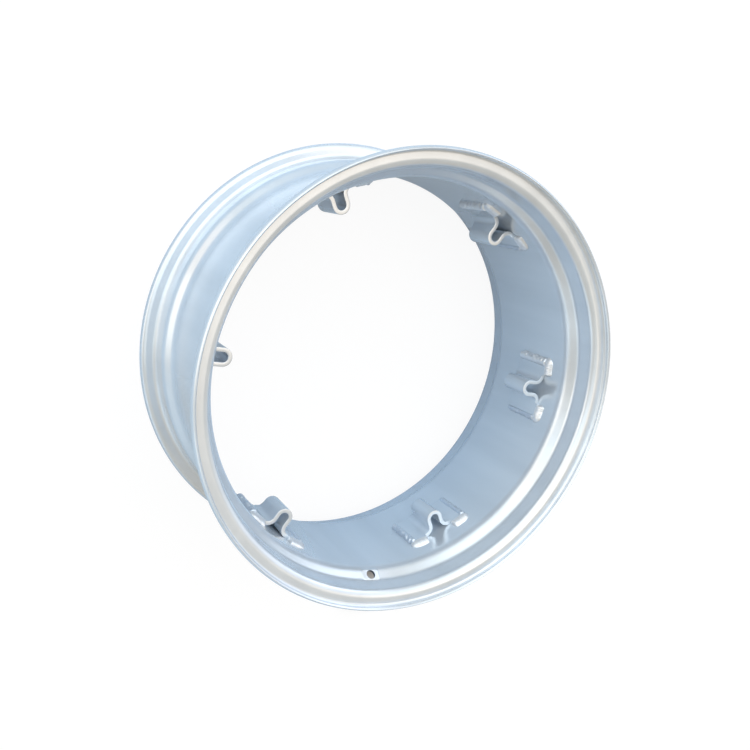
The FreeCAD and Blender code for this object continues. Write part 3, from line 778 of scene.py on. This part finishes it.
class RIM_OT_model_welds(bpy.types.Operator):
    """Model the front and end beads of every foot, with their spatter"""

    bl_idname = "rim.model_welds"
    bl_label = "Weld beads"

    def execute(self, context):
        loop, weld = context.scene.loop_sizes, context.scene.weld_sizes
        look = context.scene.paint_look
        # the front beads' paint is a lighter copy of the silver: painted light
        paint = paint_material("silver_weld_paint_painted_light", look, look.painted_light_weld_silver, look.painted_light_weld_streak)
        # the end beads' paint is a darker, bluer copy of the silver: painted shade
        painted_shade_end_paint = paint_material("silver_end_weld_paint_painted_shade", look, look.painted_shade_end_silver, look.painted_shade_end_streak)
        draw = random.Random(SPATTER_SEED)
        for number in range(LOOP_COUNT):
            middle = number * LOOP_STEP
            for letter, side in (("a", 1), ("b", -1)):
                mark = f"{number + 1}{letter}"
                seed = number * 2 + (side > 0)
                front = model_front_bead(f"front_weld_{mark}_visual", middle, side, loop, weld, seed)
                dress(front, paint, "weld_paint", f"front_weld_{mark}")
                overlap = END_OVERLAPS[mark] * MM
                name = f"end_weld_{mark}_visual"
                rough = model_end_bead(name, middle, side, overlap, loop, weld, seed + END_SEED)
                add_spatter(rough, spatter_spots(middle, side, loop, weld, draw))
                # the end beads get painted shade, but for the two that get the front beads' painted light
                coat = paint if mark in PAINTED_LIGHT_ENDS else painted_shade_end_paint
                dress(rough, coat, "weld_paint", f"end_weld_{mark}")
        return {"FINISHED"}


# Paint

STREAK_SCALE = 16.0
STREAK_DETAIL = 3.0
# how fast the streaks change along the axis, next to how fast they change round the rim
STREAK_STRETCH = 0.12
PEEL_SCALE = 420.0
PEEL_DETAIL = 2.0
PEEL_STRENGTH = 0.04
PEEL_DEPTH = 0.4 * MM
# near-black painted shade for the inside of the valve hole
BORE_SHADE_COLOUR = (0.03, 0.03, 0.04)
# how far beyond a drilled hole's radius the painted shade is full, and how far out it has faded away
BORE_EDGE = (0.1 * MM, 0.3 * MM)


def add_node(tree, kind, **settings):
    node = tree.nodes.new(kind)
    for name, value in settings.items():
        setattr(node, name, value)
    return node


def paint_bore_shade(tree, place, paint, middle, axis, radius):
    """Painted shade, near black, within this radius of the axis of a drilled hole, for the dark inside of
    the hole.
    """
    offset = add_node(tree, "ShaderNodeVectorMath", operation="SUBTRACT")
    offset.inputs[1].default_value = middle
    across = add_node(tree, "ShaderNodeVectorMath", operation="CROSS_PRODUCT")
    across.inputs[1].default_value = axis
    distance = add_node(tree, "ShaderNodeVectorMath", operation="LENGTH")
    inside = add_node(tree, "ShaderNodeMapRange", interpolation_type="SMOOTHSTEP")
    inside.inputs["From Min"].default_value = radius + BORE_EDGE[1]
    inside.inputs["From Max"].default_value = radius + BORE_EDGE[0]
    mix = add_node(tree, "ShaderNodeMix", data_type="RGBA")
    mix.inputs["B"].default_value = (*BORE_SHADE_COLOUR, 1.0)
    tree.links.new(place, offset.inputs[0])
    tree.links.new(offset.outputs[0], across.inputs[0])
    tree.links.new(across.outputs[0], distance.inputs[0])
    tree.links.new(distance.outputs["Value"], inside.inputs["Value"])
    tree.links.new(inside.outputs["Result"], mix.inputs["Factor"])
    tree.links.new(paint, mix.inputs["A"])
    return mix.outputs["Result"]


def paint_material(name, look, silver, shade, bore=None):
    """Silver paint: metal flakes under a clear gloss, with soft streaks and a faint orange peel.

    bore is a drilled hole whose inside gets a near-black painted shade: (middle, axis, radius).
    """
    material = bpy.data.materials.new(name)
    material.use_nodes = True
    tree = material.node_tree
    shader = tree.nodes["Principled BSDF"]
    shader.inputs["Metallic"].default_value = look.metallic
    shader.inputs["Roughness"].default_value = look.roughness
    shader.inputs["Coat Weight"].default_value = look.coat
    shader.inputs["Coat Roughness"].default_value = look.coat_roughness
    place = add_node(tree, "ShaderNodeTexCoord")
    stretch = add_node(tree, "ShaderNodeVectorMath", operation="MULTIPLY")
    stretch.inputs[1].default_value = (1.0, 1.0, STREAK_STRETCH)
    streaks = add_node(tree, "ShaderNodeTexNoise")
    streaks.inputs["Scale"].default_value = STREAK_SCALE
    streaks.inputs["Detail"].default_value = STREAK_DETAIL
    mix = add_node(tree, "ShaderNodeMix", data_type="RGBA")
    mix.inputs["A"].default_value = (*silver, 1.0)
    mix.inputs["B"].default_value = (*shade, 1.0)
    tree.links.new(place.outputs["Object"], stretch.inputs[0])
    tree.links.new(stretch.outputs[0], streaks.inputs["Vector"])
    tree.links.new(streaks.outputs["Fac"], mix.inputs["Factor"])
    tint = mix.outputs["Result"]
    if bore:
        tint = paint_bore_shade(tree, place.outputs["Object"], tint, *bore)
    tree.links.new(tint, shader.inputs["Base Color"])
    peel = add_node(tree, "ShaderNodeTexNoise")
    peel.inputs["Scale"].default_value = PEEL_SCALE
    peel.inputs["Detail"].default_value = PEEL_DETAIL
    bump = add_node(tree, "ShaderNodeBump")
    bump.inputs["Strength"].default_value = PEEL_STRENGTH
    bump.inputs["Distance"].default_value = PEEL_DEPTH
    tree.links.new(place.outputs["Object"], peel.inputs["Vector"])
    tree.links.new(peel.outputs["Fac"], bump.inputs["Height"])
    tree.links.new(bump.outputs["Normal"], shader.inputs["Normal"])
    return material


# Floor, light and camera

# the floor's colour for the light that it throws back, and for the camera outside a shadow and inside one,
# where the dark colour is a painted shadow over the real one
FLOOR_COLOUR = (0.38, 0.52, 0.67)
SEEN_COLOUR = (0.75, 0.75, 0.78)
SHADOW_COLOUR = (0.19, 0.175, 0.165)
# its glow, and how much of it the camera and reflections see
FLOOR_GLOW = 1.04
FLOOR_CAMERA_SHARE = 0.88
FLOOR_GLOSSY_SHARE = 0.17
# where the full shadow lies: its azimuth and half width in degrees, and its start and end in metres from
# the axis. Each pair runs from no shadow to full shadow.
SHADOW_AZIMUTH = 316
SHADOW_WIDTH = (37, 25)
SHADOW_START = (0.378, 0.388)
SHADOW_END = (0.61, 0.49)

SKY_EVEN = (0.46, 0.40, 0.31)
SKY_GLOSSY_SHARE = 0.2
# azimuth and height of each patch's middle and its half width, in degrees, and its colour
SKY_PATCHES = (
    (120, 50, 60, (1.49, 1.73, 1.88)),
    (180, 5, 25, (1.89, 1.75, 1.58)),
    (150, 5, 25, (0.84, 0.62, 0.47)),
    (225, 5, 25, (0.65, 0.84, 0.99)),
    (45, 5, 25, (1.19, 1.31, 1.58)),
    (30, 20, 40, (0.63, 0.73, 0.93)),
    (15, 70, 25, (1.40, 1.12, 0.86)),
)


def soft_step(tree, value, start, stop):
    """0 at start and 1 at stop, with a soft change between them."""
    step = add_node(tree, "ShaderNodeMapRange", interpolation_type="SMOOTHSTEP")
    step.inputs["From Min"].default_value = start
    step.inputs["From Max"].default_value = stop
    tree.links.new(value, step.inputs["Value"])
    return step.outputs["Result"]


def multiply(tree, first, second):
    product = add_node(tree, "ShaderNodeMath", operation="MULTIPLY")
    for socket, factor in zip(product.inputs, (first, second)):
        if isinstance(factor, float):
            socket.default_value = factor
        else:
            tree.links.new(factor, socket)
    return product.outputs[0]


def near_shadow(tree):
    """How much of the rim's shadow shows on the floor, real and painted: all of it close to the rim, away
    from the light.
    """
    place = add_node(tree, "ShaderNodeTexCoord")
    flat = add_node(tree, "ShaderNodeVectorMath", operation="MULTIPLY")
    flat.inputs[1].default_value = (1.0, 1.0, 0.0)
    away = add_node(tree, "ShaderNodeVectorMath", operation="LENGTH")
    heading = add_node(tree, "ShaderNodeVectorMath", operation="NORMALIZE")
    aim = add_node(tree, "ShaderNodeVectorMath", operation="DOT_PRODUCT")
    turn = math.radians(SHADOW_AZIMUTH)
    aim.inputs[1].default_value = (math.cos(turn), math.sin(turn), 0.0)
    tree.links.new(place.outputs["Object"], flat.inputs[0])
    tree.links.new(flat.outputs[0], away.inputs[0])
    tree.links.new(flat.outputs[0], heading.inputs[0])
    tree.links.new(heading.outputs[0], aim.inputs[0])
    outside = soft_step(tree, away.outputs["Value"], *SHADOW_START)
    close = soft_step(tree, away.outputs["Value"], *SHADOW_END)
    wide = [math.cos(math.radians(width)) for width in SHADOW_WIDTH]
    behind = soft_step(tree, aim.outputs["Value"], *wide)
    return multiply(tree, multiply(tree, outside, close), behind)


def floor_material():
    """Pale floor that looks white to the camera, with a faint shadow, and a full one close to the rim,
    partly real and partly painted shadow.
    """
    material = bpy.data.materials.new("floor_pale")
    material.use_nodes = True
    tree = material.node_tree
    tree.nodes.clear()
    rays = add_node(tree, "ShaderNodeLightPath")
    seen = add_node(tree, "ShaderNodeMix", data_type="RGBA")
    seen.inputs["A"].default_value = (*SEEN_COLOUR, 1.0)
    seen.inputs["B"].default_value = (*SHADOW_COLOUR, 1.0)
    tint = add_node(tree, "ShaderNodeMix", data_type="RGBA")
    tint.inputs["A"].default_value = (*FLOOR_COLOUR, 1.0)
    diffuse = add_node(tree, "ShaderNodeBsdfDiffuse")
    lift = add_node(tree, "ShaderNodeMapRange")
    lift.inputs["To Min"].default_value = FLOOR_CAMERA_SHARE
    lift.inputs["To Max"].default_value = 0.0
    share = add_node(tree, "ShaderNodeMath", operation="MAXIMUM")
    glow = add_node(tree, "ShaderNodeEmission")
    glow.inputs["Strength"].default_value = FLOOR_GLOW
    mix = add_node(tree, "ShaderNodeMixShader")
    out = add_node(tree, "ShaderNodeOutputMaterial")
    shadow = near_shadow(tree)
    tree.links.new(shadow, lift.inputs["Value"])
    # in the shadow the camera sees the dark colour: a painted shadow
    tree.links.new(shadow, seen.inputs["Factor"])
    tree.links.new(seen.outputs["Result"], tint.inputs["B"])
    tree.links.new(rays.outputs["Is Camera Ray"], tint.inputs["Factor"])
    tree.links.new(tint.outputs["Result"], diffuse.inputs["Color"])
    camera = multiply(tree, lift.outputs["Result"], rays.outputs["Is Camera Ray"])
    glossy = multiply(tree, rays.outputs["Is Glossy Ray"], FLOOR_GLOSSY_SHARE)
    tree.links.new(camera, share.inputs[0])
    tree.links.new(glossy, share.inputs[1])
    tree.links.new(share.outputs[0], mix.inputs["Fac"])
    tree.links.new(diffuse.outputs[0], mix.inputs[1])
    tree.links.new(glow.outputs[0], mix.inputs[2])
    tree.links.new(mix.outputs[0], out.inputs["Surface"])
    return material


def soft_patch(tree, sight, below, azimuth, height, width, light):
    """Add a soft-edged patch of light to the sky's colour so far. Its angles are in degrees."""
    turn, lift = math.radians(azimuth), math.radians(height)
    aim = add_node(tree, "ShaderNodeVectorMath", operation="DOT_PRODUCT")
    aim.inputs[1].default_value = (
        math.cos(lift) * math.cos(turn), math.cos(lift) * math.sin(turn), math.sin(lift)
    )
    tint = add_node(tree, "ShaderNodeVectorMath", operation="SCALE")
    tint.inputs[0].default_value = light
    total = add_node(tree, "ShaderNodeVectorMath", operation="ADD")
    tree.links.new(sight, aim.inputs[0])
    strength = soft_step(tree, aim.outputs["Value"], math.cos(math.radians(width)), 1.0)
    tree.links.new(strength, tint.inputs["Scale"])
    tree.links.new(below, total.inputs[0])
    tree.links.new(tint.outputs[0], total.inputs[1])
    return total.outputs[0]


def set_world():
    """A studio sky: even light with soft patches, and white behind what the camera sees."""
    world = bpy.data.worlds.new("studio_world")
    bpy.context.scene.world = world
    world.use_nodes = True
    tree = world.node_tree
    tree.nodes.clear()
    place = add_node(tree, "ShaderNodeTexCoord")
    even = add_node(tree, "ShaderNodeCombineXYZ")
    for axis, level in zip("XYZ", SKY_EVEN):
        even.inputs[axis].default_value = level
    sky = even.outputs[0]
    for patch in SKY_PATCHES:
        sky = soft_patch(tree, place.outputs["Generated"], sky, *patch)
    light = add_node(tree, "ShaderNodeBackground")
    white = add_node(tree, "ShaderNodeBackground")
    white.inputs["Color"].default_value = (1.0, 1.0, 1.0, 1.0)
    rays = add_node(tree, "ShaderNodeLightPath")
    share = add_node(tree, "ShaderNodeMath", operation="MAXIMUM")
    mix = add_node(tree, "ShaderNodeMixShader")
    out = add_node(tree, "ShaderNodeOutputWorld")
    tree.links.new(sky, light.inputs["Color"])
    tree.links.new(rays.outputs["Is Camera Ray"], share.inputs[0])
    tree.links.new(multiply(tree, rays.outputs["Is Glossy Ray"], SKY_GLOSSY_SHARE), share.inputs[1])
    tree.links.new(share.outputs[0], mix.inputs["Fac"])
    tree.links.new(light.outputs[0], mix.inputs[1])
    tree.links.new(white.outputs[0], mix.inputs[2])
    tree.links.new(mix.outputs[0], out.inputs["Surface"])


# the camera's own directions, and the width of its film in millimetres
CAMERA_RIGHT = (0.869366, 0.191149, 0.455703)
CAMERA_UP = (-0.086276, 0.966708, -0.240901)
CAMERA_BACK = (-0.486579, 0.170115, 0.856914)
FILM_WIDTH = 36.0


class RIM_OT_set_stage(bpy.types.Operator):
    """Set the floor, the sky's light and the camera"""

    bl_idname = "rim.set_stage"
    bl_label = "Stage"

    def execute(self, context):
        look = context.scene.studio_look
        low, _ = cad_box
        deselect_all()
        bpy.ops.mesh.primitive_plane_add(size=look.floor_size, location=(0.0, 0.0, low.z))
        floor = name_active("floor")
        apply_place()
        floor.data.materials.append(floor_material())
        set_world()
        data = bpy.data.cameras.new("camera")
        data.lens = look.lens
        data.sensor_width = FILM_WIDTH
        camera = bpy.data.objects.new("camera", data)
        context.scene.collection.objects.link(camera)
        turn = Matrix((CAMERA_RIGHT, CAMERA_UP, CAMERA_BACK)).transposed().to_4x4()
        camera.matrix_world = Matrix.Translation(look.camera_place) @ turn
        context.scene.camera = camera
        context.scene.view_settings.view_transform = "Standard"
        return {"FINISHED"}


class RIM_PT_panel(bpy.types.Panel):
    """Lists the modelling steps"""

    bl_idname = "RIM_PT_panel"
    bl_label = "Wheel Rim"
    bl_space_type = "VIEW_3D"
    bl_region_type = "UI"
    bl_category = "Wheel Rim"

    def draw(self, context):
        for step in STEPS:
            self.layout.operator(step.bl_idname)
        for group in GROUPS:
            settings = getattr(context.scene, group)
            for name in settings.__annotations__:
                self.layout.prop(settings, name)


STEPS = (RIM_OT_model_rim, RIM_OT_model_loops, RIM_OT_model_welds, RIM_OT_set_stage)
GROUPS = {
    "rim_sizes": RimSizes,
    "loop_sizes": LoopSizes,
    "weld_sizes": WeldSizes,
    "paint_look": PaintLook,
    "studio_look": StudioLook,
}


def register():
    for item in (*GROUPS.values(), *STEPS, RIM_PT_panel):
        bpy.utils.register_class(item)
    for name, group in GROUPS.items():
        setattr(bpy.types.Scene, name, PointerProperty(type=group))


def unregister():
    for name in GROUPS:
        delattr(bpy.types.Scene, name)
    for item in (RIM_PT_panel, *STEPS, *GROUPS.values()):
        bpy.utils.unregister_class(item)


def main():
    register()
    bpy.ops.rim.model_rim()
    bpy.ops.rim.model_loops()
    bpy.ops.rim.model_welds()
    bpy.ops.rim.set_stage()


if __name__ == "__main__":
    main()
